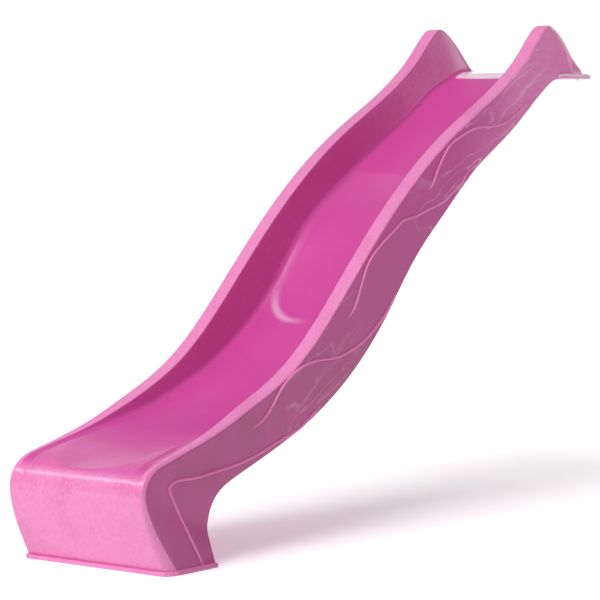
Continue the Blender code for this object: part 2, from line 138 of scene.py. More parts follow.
# Crease where the rear bevel of a side wall starts on its outer face: (y, z) on the face.
BEVEL_CREASE = [(1.995, 1.648), (2.018, 1.638), (2.070, 1.594), (2.096, 1.562), (2.117, 1.522),
                (2.139, 1.493)]
BEVEL_SLANT = 0.09         # how fast the face falls inwards past the crease
BEVEL_STARTS = (1.985, 2.035)    # rim y over which the bevel narrows the rounded corner
BEVEL_BAND = (0.035, 0.006)      # how far inside the side face the slant starts and is full
SOLE_CORNER = 0.022        # reach of the rounded lower corner of a side wall
LIP_CORNER = 0.004
FLOOR_FILLET = 0.020       # reach of the fillet between the chute's floor and a wall
WALL_FOOT_INSET = 0.012    # how far inside the rim's edge the foot of a wall is
WALL_LEAN = 0.10           # and how much further per metre of wall
RIM_FILLET = 0.006         # reach of the rim's rounded inner corner
LEDGE_DROP = 0.002         # short straight between the side face and the lip
TIP_REACH = 0.003          # reach of the lip's rounded upper corner
RUN_OUT_END = (-0.170, 0.2985)   # where the middle of the run-out meets the front roll
RUN_OUT_SLOPE = 0.10
RUN_OUT_RISE = 0.29        # how fast the run-out steepens uphill
RUN_OUT_BOW = 0.95         # how fast it rises towards the walls
RUN_OUT_EDGE = 0.0035      # softness of its edge against the roll
RUN_OUT_LOWEST = 0.001     # it is never nearer the rim than this
RUN_OUT_BLEND = (0.120, -0.050)  # rim y over which the chute's floor turns into it
FOOT_HEIGHT = 0.2          # ribs with a lower rim are on the front of the foot
RECESS_DEPTH = 0.0045      # shallow channel in the chute between the two humps
RECESS_END = 0.850         # y of its curved lower end
RECESS_BOW = 0.170         # length over which that end curves
RECESS_STEP = 0.040        # width of the step down into it
RECESS_TOP = 1.430
RECESS_TOP_STEP = 0.030
RECESS_HALF = 0.186
RECESS_SQUARENESS = 2.4    # 2 would make the curved end an ellipse
LINE_HEIGHT = 0.0016       # step in the side face at a line
LINE_WIDTH = 0.0085
BEAD_WIDTH = 0.0080        # round bead that runs on the step
BEAD_HEIGHT = 0.0048
BEAD_ROOT = 0.0020         # depth of the bead's root inside the side face
BEAD_STEPS = 10            # points over the round of a bead
BEAD_SPACING = 0.004
BEAD_TIP = 0.35            # share of its width left at a bead's faded end
# Share of painted highlight on the beads.
BEAD_HIGHLIGHT = 0.75
LINE_DECAY = 0.055         # how slowly the raised side falls back to the wall
LINE_FADE = 0.050          # length over which a line's end fades out

# Where the skin is worn, where light and shade are painted into it, where it is polished and
# where it shows flow marks.  A pair says where a share starts and where it is full: of how far a
# face turns towards an axis (0 to 1), or of a place in metres.
FRONT_FACING = (0.35, 0.90)
FRONT_HEIGHTS = (0.325, 0.285)
CHEEK_FACING = (0.90, 0.97)
CHEEK_PLACES = (1.350, 2.000)
CHEEK_SHEEN = (0.10, 0.95)        # painted sheen everywhere, and more painted light added at the peaks
BACK_FACING = (0.45, 0.85)
BACK_HEIGHTS = (1.480, 1.520)
BACK_HIGHLIGHT = 0.55
LIP_HIGHLIGHT = 0.55
RECESS_SHEEN = 0.16
RECESS_SHEEN_PLACES = (1.150, 1.400)
RUN_OUT_REFLECTION = 0.42
RUN_OUT_REFLECTION_PLACES = (0.220, -0.060)
RUN_OUT_FACING = 0.60
# Painted highlights, and a painted reflection on the seat, in near white.
CREASE_HIGHLIGHT = 0.75
CREASE_WIDTH = 0.0042
CREASE_PLACES = (2.010, 2.030)
PEAK_HIGHLIGHT = 0.60
PEAK_PLACES = ((1.985, 2.000), (2.070, 2.030))
SEAT_REFLECTION = 0.95
SEAT_FACING = (0.80, 0.90)
SEAT_START = 0.015
SEAT_TOP = 1.540
STEP_HIGHLIGHT = 0.36               # painted highlight on the step at the recess's lower end, mostly its left half
STEP_PLACES = (1.000, 0.880)
STEP_ACROSS = (0.060, -0.080)
EDGE_HIGHLIGHT = 0.75
EDGE_FACING = (-0.30, 0.10)
EDGE_OUTSIDE = 0.0012
SEAT_POLISH_FACING = (0.85, 0.93)
SEAT_POLISH_START = 0.008
ROLL_POLISH = 0.45
ROLL_FACING = (0.30, 0.60)
ROLL_HEIGHTS = (0.210, 0.250)
ROLL_TOP = 0.330
# Painted shade on the side faces, darker and greyer low down.
SIDE_SHADE_FACING = (0.70, 0.95)
SIDE_SHADE_HEIGHTS = (0.500, 1.250)
SIDE_SHADE_AMOUNT = (0.75, 0.65)       # painted shade low down, and how much less high up
SWIRL_FACING = (0.80, 0.95)
SWIRL_HIGH = ((1.050, 1.450), (2.000, 1.850))
SWIRL_LOW = ((0.420, 0.520), (0.900, 0.700))
SWIRL_LOW_AMOUNT = 0.5
SIDE_BAND = 0.010                # vertices less than this inside the side face belong to it

PINK = (0.600, 0.062, 0.325)
PINK_DEEP = (0.530, 0.047, 0.282)
# Chalky pink of wear and of painted sheen.
PINK_CHALK_AND_SHEEN = (0.760, 0.235, 0.490)
# Colour of the painted shade on the side faces.
PINK_SIDE_SHADE = (0.325, 0.052, 0.158)
# Near white of painted highlights.
HIGHLIGHT_WHITE = (0.880, 0.720, 0.830)

FLOOR_HALF = 30.0
SKY_SIDES = 0.10
SKY_OVERHEAD = 0.34
SKY_SWEEP = 1.30
CAMERA_PLACE = (4.8389, -5.4078, 1.2358)
CAMERA_AZIMUTH = math.radians(37.597)
CAMERA_DROP = math.radians(3.601)
CAMERA_ROLL = math.radians(-0.144)
CAMERA_LENS = 147.0


# ---------------------------------------------------------------- curves
def spline(knots, values, at):
    """Natural cubic spline through values at knots, evaluated at many places."""
    count = len(knots)
    gap = np.diff(knots)
    system = np.eye(count)
    right = np.zeros((count, values.shape[1]))
    slope = np.diff(values, axis=0) / gap[:, None]
    for i in range(1, count - 1):
        system[i, i - 1: i + 2] = (gap[i - 1], 2 * (gap[i - 1] + gap[i]), gap[i])
        right[i] = 6 * (slope[i] - slope[i - 1])
    bend = np.linalg.solve(system, right)
    index = np.clip(np.searchsorted(knots, at) - 1, 0, count - 2)
    step = gap[index][:, None]
    a = (knots[index + 1] - at)[:, None] / step
    b = 1 - a
    cubic = ((a ** 3 - a) * bend[index] + (b ** 3 - b) * bend[index + 1]) * step ** 2 / 6
    return a * values[index] + b * values[index + 1] + cubic


def smoothstep(low, high, x):
    t = np.clip((x - low) / (high - low), 0.0, 1.0)
    return t * t * (3 - 2 * t)


def fine_curve(points, spacing):
    """Evenly spaced points on a smooth curve through points."""
    points = np.array(points, float)
    chord = np.sqrt(np.linalg.norm(np.diff(points, axis=0), axis=1))
    knots = np.concatenate(([0.0], np.cumsum(chord)))
    dense = spline(knots, points, np.linspace(0.0, knots[-1], 1200))
    length = np.concatenate(([0.0], np.cumsum(np.linalg.norm(np.diff(dense, axis=0), axis=1))))
    count = int(length[-1] / spacing) + 1
    at = np.linspace(0.0, length[-1], count)
    return np.column_stack([np.interp(at, length, dense[:, k]) for k in range(2)]), length[-1]


# ---------------------------------------------------------------- cross-cuts
def rounded(before, corner, after, reach, segments, reach_after=None):
    """Points of a rounded corner that starts and ends at most reach from the corner."""
    to_before = before - corner
    to_after = after - corner
    length_in = np.linalg.norm(to_before)
    length_out = np.linalg.norm(to_after)
    start = corner + to_before / length_in * min(reach, 0.45 * length_in)
    end = corner + to_after / length_out * min(reach_after or reach, 0.45 * length_out)
    cosine = float(to_before @ to_after) / (length_in * length_out)
    weight = math.cos((math.pi - math.acos(max(-1.0, min(1.0, cosine)))) / 2)
    t = np.linspace(0.0, 1.0, segments + 1)[:, None]
    a, b, c = (1 - t) ** 2, 2 * t * (1 - t) * weight, t * t
    return (start * a + corner * b + end * c) / (a + b + c)


def straight(start, end, count):
    """count points strictly between start and end."""
    t = np.linspace(0.0, 1.0, count + 2)[1:-1, None]
    return start + (end - start) * t


def half_ring(cut, lip):
    """Right half of one cross-cut: (across, down) from mid-floor round to mid-sole."""
    rim_y, rim_z, sole_y, sole_z, floor, dish, nose, spread = cut
    depth = math.hypot(sole_y - rim_y, sole_z - rim_z)
    lip_top = depth - min(LIP_THICKNESS, LIP_SHARE * depth)
    side = HALF + spread
    run_out = (rim_y - EXIT_EDGE_Y) / (FULL_RIM_Y - EXIT_EDGE_Y)
    rim_share = RIM_AT_EXIT + (1 - RIM_AT_EXIT) * min(1.0, max(0.0, run_out))
    rim_edge = HALF - RIM_WIDTH * rim_share
    floor_edge = rim_edge - WALL_FOOT_INSET - WALL_LEAN * floor
    chute = np.array((floor_edge, floor))
    inner = np.array((rim_edge, 0.0))
    outer = np.array((side, 0.0))
    shoulder = np.array((side, lip_top))
    lip_edge = np.array((side + lip, lip_top))
    toe = np.array((side + lip, depth))
    sole = np.array((0.0, depth))
    middle = np.array((0.0, floor))
    fillet = rounded(middle, chute, inner, FLOOR_FILLET, FILLET_COLUMNS - 1)
    across = np.linspace(0.0, 1.0, BED_COLUMNS + 1)[:-1, None]
    bed = np.column_stack((across * fillet[0][0], floor + dish * (1 - across ** 2)))
    bed[:, 1] += (fillet[0][1] - floor) * across[:, 0]
    share = float(smoothstep(*RUN_OUT_BLEND, rim_y)) * (rim_z > FOOT_HEIGHT)
    bed[:, 1] += share * (run_out_depth(cut, bed[:, 0]) - bed[:, 1])
    crest = rounded(chute, inner, outer, RIM_FILLET, CREST_COLUMNS - 1)
    narrowing = BEVEL_NARROWING * float(smoothstep(*BEVEL_STARTS, rim_y))
    across_reach = min(nose, NOSE_REACH - narrowing)
    corner = rounded(inner, outer, shoulder, across_reach, CORNER_COLUMNS - 1, nose)
    ledge = shoulder - np.array((0.0, min(LEDGE_DROP, 0.2 * lip_top)))
    lip_edge = lip_edge + np.array((0.0, 0.001 * (1 - lip / FLANGE_LIP)))
    tip = rounded(ledge, lip_edge, toe, TIP_REACH, TIP_COLUMNS - 1)
    heel_reach = SOLE_CORNER + (LIP_CORNER - SOLE_CORNER) * lip / FLANGE_LIP
    heel = rounded(lip_edge, toe, sole, heel_reach, HEEL_COLUMNS - 1)
    under = np.linspace(0.0, 1.0, SOLE_COLUMNS + 1)[1:, None]
    pieces = [
        bed, fillet, straight(fillet[-1], crest[0], WALL_COLUMNS), crest,
        straight(crest[-1], corner[0], RIM_COLUMNS), corner,
        straight(corner[-1], ledge, SIDE_COLUMNS), ledge[None], tip, heel,
        heel[-1] + (sole - heel[-1]) * under,
    ]
    return np.concatenate(pieces)


def place_ring(half, cut):
    """Full closed ring in space: the left side mirrors the right."""
    rim_y, rim_z, sole_y, sole_z = cut[:4]
    depth = math.hypot(sole_y - rim_y, sole_z - rim_z)
    y = rim_y + (sole_y - rim_y) / depth * half[:, 1]
    z = rim_z + (sole_z - rim_z) / depth * half[:, 1]
    right = np.column_stack((half[:, 0], y, z))
    left = right[-2:0:-1] * (-1.0, 1.0, 1.0)
    return np.concatenate((right, left))


def all_cuts():
    """Cross-cuts from the rear foot of the walls down to the base lip, finely spaced."""
    travel = np.linalg.norm(np.diff(RIBS[:, :2], axis=0), axis=1)
    travel += np.linalg.norm(np.diff(RIBS[:, 2:4], axis=0), axis=1)
    knots = np.concatenate(([0.0], np.cumsum(np.sqrt(travel))))
    at = []
    for k, length in enumerate(travel):
        steps = max(3, round(0.5 * length / RING_SPACING))
        at.append(knots[k] + (knots[k + 1] - knots[k]) * np.arange(steps) / steps)
    at = np.concatenate(at + [[knots[-1]]])
    cuts = spline(knots, RIBS, at)
    cuts[:, 4:] = np.maximum(cuts[:, 4:], (0.0005, -SEAT_CROWN, 0.001, 0.0))
    return cuts


# ---------------------------------------------------------------- embossed lines
def line_relief(points, side_points):
    """Height of one embossed line at (y, z) places: a quick rise, then a slow fall back."""
    curve, length = fine_curve(points, 0.002)
    tangent = np.gradient(curve, axis=0)
    tangent /= np.linalg.norm(tangent, axis=1)[:, None]
    height = np.zeros(len(side_points))
    reach = 4 * LINE_DECAY
    inside = (side_points > curve.min(0) - reach) & (side_points < curve.max(0) + reach)
    near = np.all(inside, axis=1)
    picked = np.flatnonzero(near)
    for start in range(0, len(picked), 4000):
        chunk = picked[start: start + 4000]
        away = side_points[chunk][:, None, :] - curve[None, :, :]
        index = np.argmin((away ** 2).sum(axis=2), axis=1)
        offset = away[np.arange(len(chunk)), index]
        along = tangent[index]
        across = offset[:, 0] * along[:, 1] - offset[:, 1] * along[:, 0]
        travelled = index * length / (len(curve) - 1)
        fade = smoothstep(0.0, LINE_FADE, length - travelled)
        if points[0][1] > 0.0:
            fade = fade * smoothstep(0.0, LINE_FADE, travelled)
        rise = smoothstep(-LINE_WIDTH / 2, LINE_WIDTH / 2, across)
        fall = np.exp(-np.clip(across - LINE_WIDTH / 2, 0.0, None) / LINE_DECAY)
        beyond = np.linalg.norm(offset, axis=1) - np.abs(across)
        fade = fade * (1 - smoothstep(0.0, 0.004, beyond))
        height[chunk] = rise * fall * fade
    return height * LINE_HEIGHT


# ---------------------------------------------------------------- the moulding
def run_out_depth(cut, across):
    """Depth below the rim, along the cut, of the bowed run-out that ends in the front roll."""
    rim_y, rim_z, sole_y, sole_z = cut[:4]
    length = math.hypot(sole_y - rim_y, sole_z - rim_z)
    step_y = (sole_y - rim_y) / length
    step_z = (sole_z - rim_z) / length
    depth = np.zeros(len(across))
    for _ in range(6):
        s = rim_y + step_y * depth - RUN_OUT_END[0]
        level = RUN_OUT_END[1] + RUN_OUT_SLOPE * s + RUN_OUT_RISE * s * np.abs(s)
        gap = rim_z + step_z * depth - level - RUN_OUT_BOW * across ** 2
        slope = step_z - step_y * (RUN_OUT_SLOPE + 2 * RUN_OUT_RISE * np.abs(s))
        depth = depth - gap / slope
    past = depth - RUN_OUT_LOWEST
    return 0.5 * (depth + RUN_OUT_LOWEST + np.sqrt(past ** 2 + RUN_OUT_EDGE ** 2))


def recess_share(rings):
    """How far into the shallow channel of the chute each vertex is, from 0 to 1."""
    count = rings.shape[1]
    column = np.minimum(np.arange(count), count - np.arange(count))
    bed = np.tile(column < BED_COLUMNS + FILLET_COLUMNS // 2, (len(rings), 1))
    x, y = rings[:, :, 0], rings[:, :, 1]
    lengthwise = np.minimum(y - RECESS_END - RECESS_BOW, 0.0) / RECESS_BOW
    power = RECESS_SQUARENESS
    radius = (np.abs(x / RECESS_HALF) ** power + np.abs(lengthwise) ** power) ** (1 / power)
    share = smoothstep(0.0, RECESS_STEP / RECESS_HALF, 1.0 - radius)
    return share * smoothstep(RECESS_TOP, RECESS_TOP - RECESS_TOP_STEP, y) * bed


def recess(rings):
    """Sinks a shallow channel in the chute, which ends in a curved step on the second hump."""
    down = rings[:, rings.shape[1] // 2] - rings[:, 0]
    down /= np.linalg.norm(down, axis=1)[:, None]
    return rings + RECESS_DEPTH * recess_share(rings)[:, :, None] * down[:, None, :]


def body_rings():
    """All rings of the moulding, from the flange's rear edge down to the base lip."""
    flange = np.array((FLANGE_END, FLANGE_TOP, FLANGE_END, DECK_HEIGHT,
                       -SEAT_RISE, -SEAT_CROWN, 0.002, 0.0))
    rings = []
    for y in (FLANGE_END, FLANGE_END - 0.0015, FLANGE_END - 0.012, WALL_END + 0.012, WALL_END):
        cut = flange.copy()
        cut[0] = cut[2] = y
        rings.append(place_ring(half_ring(cut, FLANGE_LIP), cut))
    end = rings[0]
    middle = end.mean(axis=0)
    rings.insert(0, middle + (end - middle) * (0.995, 1.0, 0.90))
    for cut in all_cuts():
        lip = FLANGE_LIP * float(smoothstep(LIP_START_Y, LIP_FULL_Y, cut[2]))
        rings.append(place_ring(half_ring(cut, lip), cut))
    rings = np.array(rings)
    last = rings[-1]
    along = np.roll(last, -1, axis=0) - np.roll(last, 1, axis=0)
    outward = np.column_stack((along[:, 1], -along[:, 0], np.zeros(len(last))))
    outward /= np.linalg.norm(outward, axis=1)[:, None]
    flip = (outward * (last - last.mean(axis=0))).sum(axis=1) < 0
    outward[flip] *= -1
    base = []
    # Section of the base lip: share of its reach, and height above the ground.
    for out, height in ((0.10, 0.0132), (0.45, 0.0134), (0.80, 0.0126), (0.95, 0.0110),
                        (1.0, 0.0085), (1.0, 0.0050), (0.90, 0.0030), (0.97, 0.0015), (0.93, 0.0)):
        ring = last + outward * BASE_LIP * out
        ring[:, 2] = height
        base.append(ring)
    return np.concatenate((rings, np.array(base)))


def above_crease(y, z):
    """Height above the crease of the rear bevel; negative below and in front of it."""
    crease = np.array(BEVEL_CREASE)
    height = z - np.interp(y, crease[:, 0], crease[:, 1], left=2.0)
    return np.where(y < crease[0, 0], -1.0, height)


def bevel(rings):
    """Slants the outer face of the side walls inwards past the crease of the rear bevel."""
    across = np.abs(rings[:, :, 0])
    fall = BEVEL_SLANT * np.maximum(above_crease(rings[:, :, 1], rings[:, :, 2]), 0.0)
    fall = fall * smoothstep(HALF - BEVEL_BAND[0], HALF - BEVEL_BAND[1], across) * (across < HALF + 0.001)
    rings[:, :, 0] -= np.sign(rings[:, :, 0]) * fall
    return rings


def emboss(rings):
    """Pushes the embossed wave lines out of both side faces."""
    count = rings.shape[1]
    across = np.abs(rings[:, :, 0])
    lateral = np.zeros(rings.shape[:2], bool)
    first = BED_COLUMNS + FILLET_COLUMNS + WALL_COLUMNS + CREST_COLUMNS + RIM_COLUMNS + 4
    last = first + CORNER_COLUMNS + SIDE_COLUMNS + TIP_COLUMNS + HEEL_COLUMNS - 5
    lateral[:, first:last] = True
    lateral[:, count - last + 1: count - first + 1] = True
    lateral &= across > HALF - 0.030
    places = rings[lateral][:, 1:]
    relief = np.zeros(len(places))
    for points in WAVE_LINES:
        relief = np.maximum(relief, line_relief(points, places))
    level = rings[lateral]
    level[:, 0] += np.sign(level[:, 0]) * relief
    rings[lateral] = level
    return rings


def bead_mesh(name, rings, side):
    """The four round beads of one side face, swept along the wave lines."""
    side_vertices = np.argwhere(rings[:, :, 0] * side > HALF - 0.012)
    tree = KDTree(len(side_vertices))
    for i, (row, column) in enumerate(side_vertices):
        x, y, z = rings[row, column]
        tree.insert((0.0, y, z), i)
    tree.balance()
    turn = np.linspace(0.0, math.pi, BEAD_STEPS)
    profile = np.column_stack((np.cos(turn) * BEAD_WIDTH / 2, np.sin(turn) * BEAD_HEIGHT))
    profile = np.concatenate((profile, profile[::-1] * (1.0, 0.0) - (0.0, BEAD_ROOT)))
    points = []
    faces = []
    for line in WAVE_LINES:
        curve, length = fine_curve(line, BEAD_SPACING)
        tangent = np.gradient(curve, axis=0)
        tangent /= np.linalg.norm(tangent, axis=1)[:, None]
        travelled = np.linspace(0.0, length, len(curve))
        fade = np.sqrt(smoothstep(-0.004, LINE_FADE, length - travelled))
        if line[0][1] > 0.0:
            fade = fade * np.sqrt(smoothstep(-0.004, LINE_FADE, travelled))
        first = len(points)
        for (y, z), (along_y, along_z), size in zip(curve, tangent, fade):
            found = tree.find_n((0.0, y, z), 4)
            weight = [1.0 / (distance + 0.0003) for _, _, distance in found]
            near = [abs(rings[tuple(side_vertices[i])][0]) for _, i, _ in found]
            level = sum(w * x for w, x in zip(weight, near)) / sum(weight)
            for across, out in profile:
                shift = across * (BEAD_TIP + (1 - BEAD_TIP) * size)
                points.append((side * (level + (out * size if out > 0 else out)),
                               y + shift * along_z, z - shift * along_y))
        count = len(profile)
        for row in range(len(curve) - 1):
            for k in range(count):
                a, b = first + row * count + k, first + row * count + (k + 1) % count
                quad = (a, b, b + count, a + count)
                faces.append(quad if side > 0 else (a, a + count, b + count, b))
        start = tuple(range(first, first + count))
        end = tuple(range(len(points) - count, len(points)))
        faces.append(start[::-1] if side > 0 else start)
        faces.append(end if side > 0 else end[::-1])
    mesh = bpy.data.meshes.new(name)
    mesh.from_pydata([tuple(float(v) for v in point) for point in points], [], faces)
    # Painted highlight along the beads.
    sheen_and_wear = mesh.attributes.new("sheen_and_wear", "FLOAT", "POINT")
    sheen_and_wear.data.foreach_set("value", [BEAD_HIGHLIGHT] * len(points))
    mesh.update()
    mesh.shade_smooth()
    mesh.set_sharp_from_angle(angle=math.radians(60.0))
    return mesh


def normals_of(rings):
    """Outward normals of the ring grid."""
    around = np.roll(rings, -1, axis=1) - np.roll(rings, 1, axis=1)
    along = np.gradient(rings, axis=0)
    normal = np.cross(around, along)
    normal /= np.maximum(np.linalg.norm(normal, axis=2), 1e-12)[:, :, None]
    outer = np.abs(rings[:, :, 0]) > HALF - 0.002
    if (normal[:, :, 0] * np.sign(rings[:, :, 0]))[outer].mean() < 0:
        normal = -normal
    return normal


def sheen_and_wear_of(rings):
    """Painted sheen, highlights and reflection, with some wear on the rims: most on the front of the foot,
    the rims and the cheeks of the peaks.
    """
    rows, count = rings.shape[:2]
    y, z = rings[:, :, 1], rings[:, :, 2]
    normal = normals_of(rings)
    column = np.minimum(np.arange(count), count - np.arange(count))
    rim_start = BED_COLUMNS + FILLET_COLUMNS + WALL_COLUMNS + 3
    rim_end = rim_start + CREST_COLUMNS + RIM_COLUMNS + CORNER_COLUMNS - 6
    # Rims: wear, and painted light that keeps them brighter than the shaded chute floor.
    rim = np.tile(((column >= rim_start) & (column < rim_end)).astype(float), (rows, 1))
    # Painted sheen of the key light on the front of the foot.
    front = smoothstep(*FRONT_FACING, -normal[:, :, 1]) * smoothstep(*FRONT_HEIGHTS, z)
    # Painted sheen on the side faces, brighter towards the peaks.
    facing = np.abs(normal[:, :, 0])
    cheek = CHEEK_SHEEN[0] + CHEEK_SHEEN[1] * smoothstep(*CHEEK_PLACES, y)
    cheek = smoothstep(*CHEEK_FACING, facing) * cheek
    # Painted highlight on the rear rounding of the walls.
    back = BACK_HIGHLIGHT * smoothstep(*BACK_FACING, normal[:, :, 1]) * smoothstep(*BACK_HEIGHTS, z)
    # Painted highlight on the base lip.
    lip = LIP_HIGHLIGHT * (z < BASE_LIP_HEIGHT + 0.001)
    # Painted lighter shade inside the top of the recess.
    hazy = RECESS_SHEEN * recess_share(rings) * smoothstep(*RECESS_SHEEN_PLACES, y)
    # Painted reflection on the pale run-out.
    run_out = RUN_OUT_REFLECTION * smoothstep(*RUN_OUT_REFLECTION_PLACES, y)
    run_out = run_out * (column < BED_COLUMNS) * (normal[:, :, 2] > RUN_OUT_FACING)
    return np.maximum.reduce([rim, front, cheek, back, lip, hazy, run_out])


def painted_highlight_of(rings):
    """Painted highlights and reflection in near white: seat, flange edge, rear bevels, tops of the peaks,
    end of the recess.
    """
    count = rings.shape[1]
    y, z = rings[:, :, 1], rings[:, :, 2]
    normal = normals_of(rings)
    column = np.minimum(np.arange(count), count - np.arange(count))
    outer = np.abs(rings[:, :, 0]) > HALF - 0.012
    crease = CREASE_HIGHLIGHT * np.exp(-(above_crease(y, z) / CREASE_WIDTH) ** 2)
    crease = crease * outer * smoothstep(*CREASE_PLACES, y)
    side_start = BED_COLUMNS + FILLET_COLUMNS + WALL_COLUMNS + CREST_COLUMNS + RIM_COLUMNS
    corner = (column > side_start) & (column <= side_start + CORNER_COLUMNS)
    top = PEAK_HIGHLIGHT * corner * smoothstep(*PEAK_PLACES[0], y) * smoothstep(*PEAK_PLACES[1], y)
    seat = SEAT_REFLECTION * smoothstep(*SEAT_FACING, normal[:, :, 2])
    seat = seat * smoothstep(SEAT_FRONT_Y, SEAT_FRONT_Y + SEAT_START, y)
    share = recess_share(rings)
    left = smoothstep(*STEP_ACROSS, rings[:, :, 0])
    step = STEP_HIGHLIGHT * 4 * share * (1 - share) * smoothstep(*STEP_PLACES, y) * left
    outside = np.abs(rings[:, :, 0]) > HALF + EDGE_OUTSIDE
    edge = EDGE_HIGHLIGHT * smoothstep(*EDGE_FACING, normal[:, :, 2]) * outside * (y > LIP_START_Y)
    return np.maximum.reduce([crease, top, seat * (z < SEAT_TOP), step, edge])


def polish_of(rings):
    """Where the skin is polished by use: the seat and the roll over the exit edge."""
    y, z = rings[:, :, 1], rings[:, :, 2]
    normal = normals_of(rings)
    seat = smoothstep(*SEAT_POLISH_FACING, normal[:, :, 2])
    seat = seat * smoothstep(SEAT_FRONT_Y, SEAT_FRONT_Y + SEAT_POLISH_START, y)
    roll = smoothstep(*ROLL_FACING, -normal[:, :, 1]) * smoothstep(*ROLL_HEIGHTS, z) * (z < ROLL_TOP)
    return np.maximum(seat, ROLL_POLISH * roll * (y < EXIT_EDGE_Y))


def on_side(rings):
    """How squarely each vertex of the two side faces looks sideways; 0 elsewhere."""
    return np.abs(normals_of(rings)[:, :, 0]) * (np.abs(rings[:, :, 0]) > HALF - SIDE_BAND)


def painted_side_shade_of(rings):
    """Painted shade on the outer faces, darker and duller: most low down."""
    less = SIDE_SHADE_AMOUNT[1] * smoothstep(*SIDE_SHADE_HEIGHTS, rings[:, :, 2])
    return smoothstep(*SIDE_SHADE_FACING, on_side(rings)) * (SIDE_SHADE_AMOUNT[0] - less)


def swirl_of(rings):
    """Where flow marks from the mould show: mostly high on the side faces."""
    y = rings[:, :, 1]
    high = smoothstep(*SWIRL_HIGH[0], y) * smoothstep(*SWIRL_HIGH[1], y)
    low = SWIRL_LOW_AMOUNT * smoothstep(*SWIRL_LOW[0], y) * smoothstep(*SWIRL_LOW[1], y)
    return smoothstep(*SWIRL_FACING, on_side(rings)) * np.maximum(high, low)


def mesh_from_rings(name, rings):
    rows, count = rings.shape[:2]
    grid = np.arange(rows * count).reshape(rows, count)
    following = np.roll(grid, -1, axis=1)
    quads = np.stack((grid[:-1], following[:-1], following[1:], grid[1:]), axis=-1).reshape(-1, 4)
    mesh = bpy.data.meshes.new(name)
    faces = quads.tolist() + [grid[0][::-1].tolist(), grid[-1].tolist()]
    mesh.from_pydata(rings.reshape(-1, 3).tolist(), [], faces)
    for layer, share in (("sheen_and_wear", sheen_and_wear_of), ("swirl", swirl_of), ("painted_side_shade", painted_side_shade_of),
                         ("painted_highlight", painted_highlight_of), ("polish", polish_of)):
        values = mesh.attributes.new(layer, "FLOAT", "POINT").data
        values.foreach_set("value", share(rings).ravel())
    mesh.update()
    return mesh


def add_piece(name, mesh, material, slot, *nodes):
    piece = bpy.data.objects.new(name, mesh)
    bpy.context.scene.collection.objects.link(piece)
    mesh.materials.append(material)
    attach(piece, "root")
    if nodes:
        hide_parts(*nodes)
    return piece


# ---------------------------------------------------------------- materials
def new_material(name, roughness, metallic=0.0):
    material = bpy.data.materials.new(name)
    material.use_nodes = True
    shader = material.node_tree.nodes["Principled BSDF"]
    shader.inputs["Roughness"].default_value = roughness
    shader.inputs["Metallic"].default_value = metallic
    return material, material.node_tree, shader


def noise(tree, source, scale, detail, stretch=(1.0, 1.0, 1.0), distortion=0.0, tilt=0.0):
    """Noise, stretched along the axes after a tilt about X that turns Y up the slide."""
    mapping = tree.nodes.new("ShaderNodeMapping")
    mapping.vector_type = "TEXTURE"
    mapping.inputs["Rotation"].default_value = (tilt, 0.0, 0.0)
    mapping.inputs["Scale"].default_value = stretch
    texture = tree.nodes.new("ShaderNodeTexNoise")
    texture.inputs["Scale"].default_value = scale
    texture.inputs["Detail"].default_value = detail
    texture.inputs["Distortion"].default_value = distortion
    tree.links.new(source, mapping.inputs["Vector"])
    tree.links.new(mapping.outputs["Vector"], texture.inputs["Vector"])
    return texture.outputs["Fac"]


def ramp(tree, source, stops):
    node = tree.nodes.new("ShaderNodeValToRGB")
    elements = node.color_ramp.elements
    while len(elements) < len(stops):
        elements.new(0.5)
    for element, (position, colour) in zip(elements, stops):
        element.position = position
        element.color = (*colour, 1.0)
    tree.links.new(source, node.inputs["Fac"])
    return node.outputs["Color"]


def attribute(tree, name):
    node = tree.nodes.new("ShaderNodeAttribute")
    node.attribute_name = name
    return node.outputs["Fac"]


def rescale(tree, source, low, high, to_low, to_high):
    node = tree.nodes.new("ShaderNodeMapRange")
    node.inputs["From Min"].default_value = low
    node.inputs["From Max"].default_value = high
    node.inputs["To Min"].default_value = to_low
    node.inputs["To Max"].default_value = to_high
    tree.links.new(source, node.inputs["Value"])
    return node.outputs["Result"]


def combine(tree, operation, first, second):
    node = tree.nodes.new("ShaderNodeMath")
    node.operation = operation
    node.use_clamp = True
    tree.links.new(first, node.inputs[0])
    tree.links.new(second, node.inputs[1])
    return node.outputs["Value"]


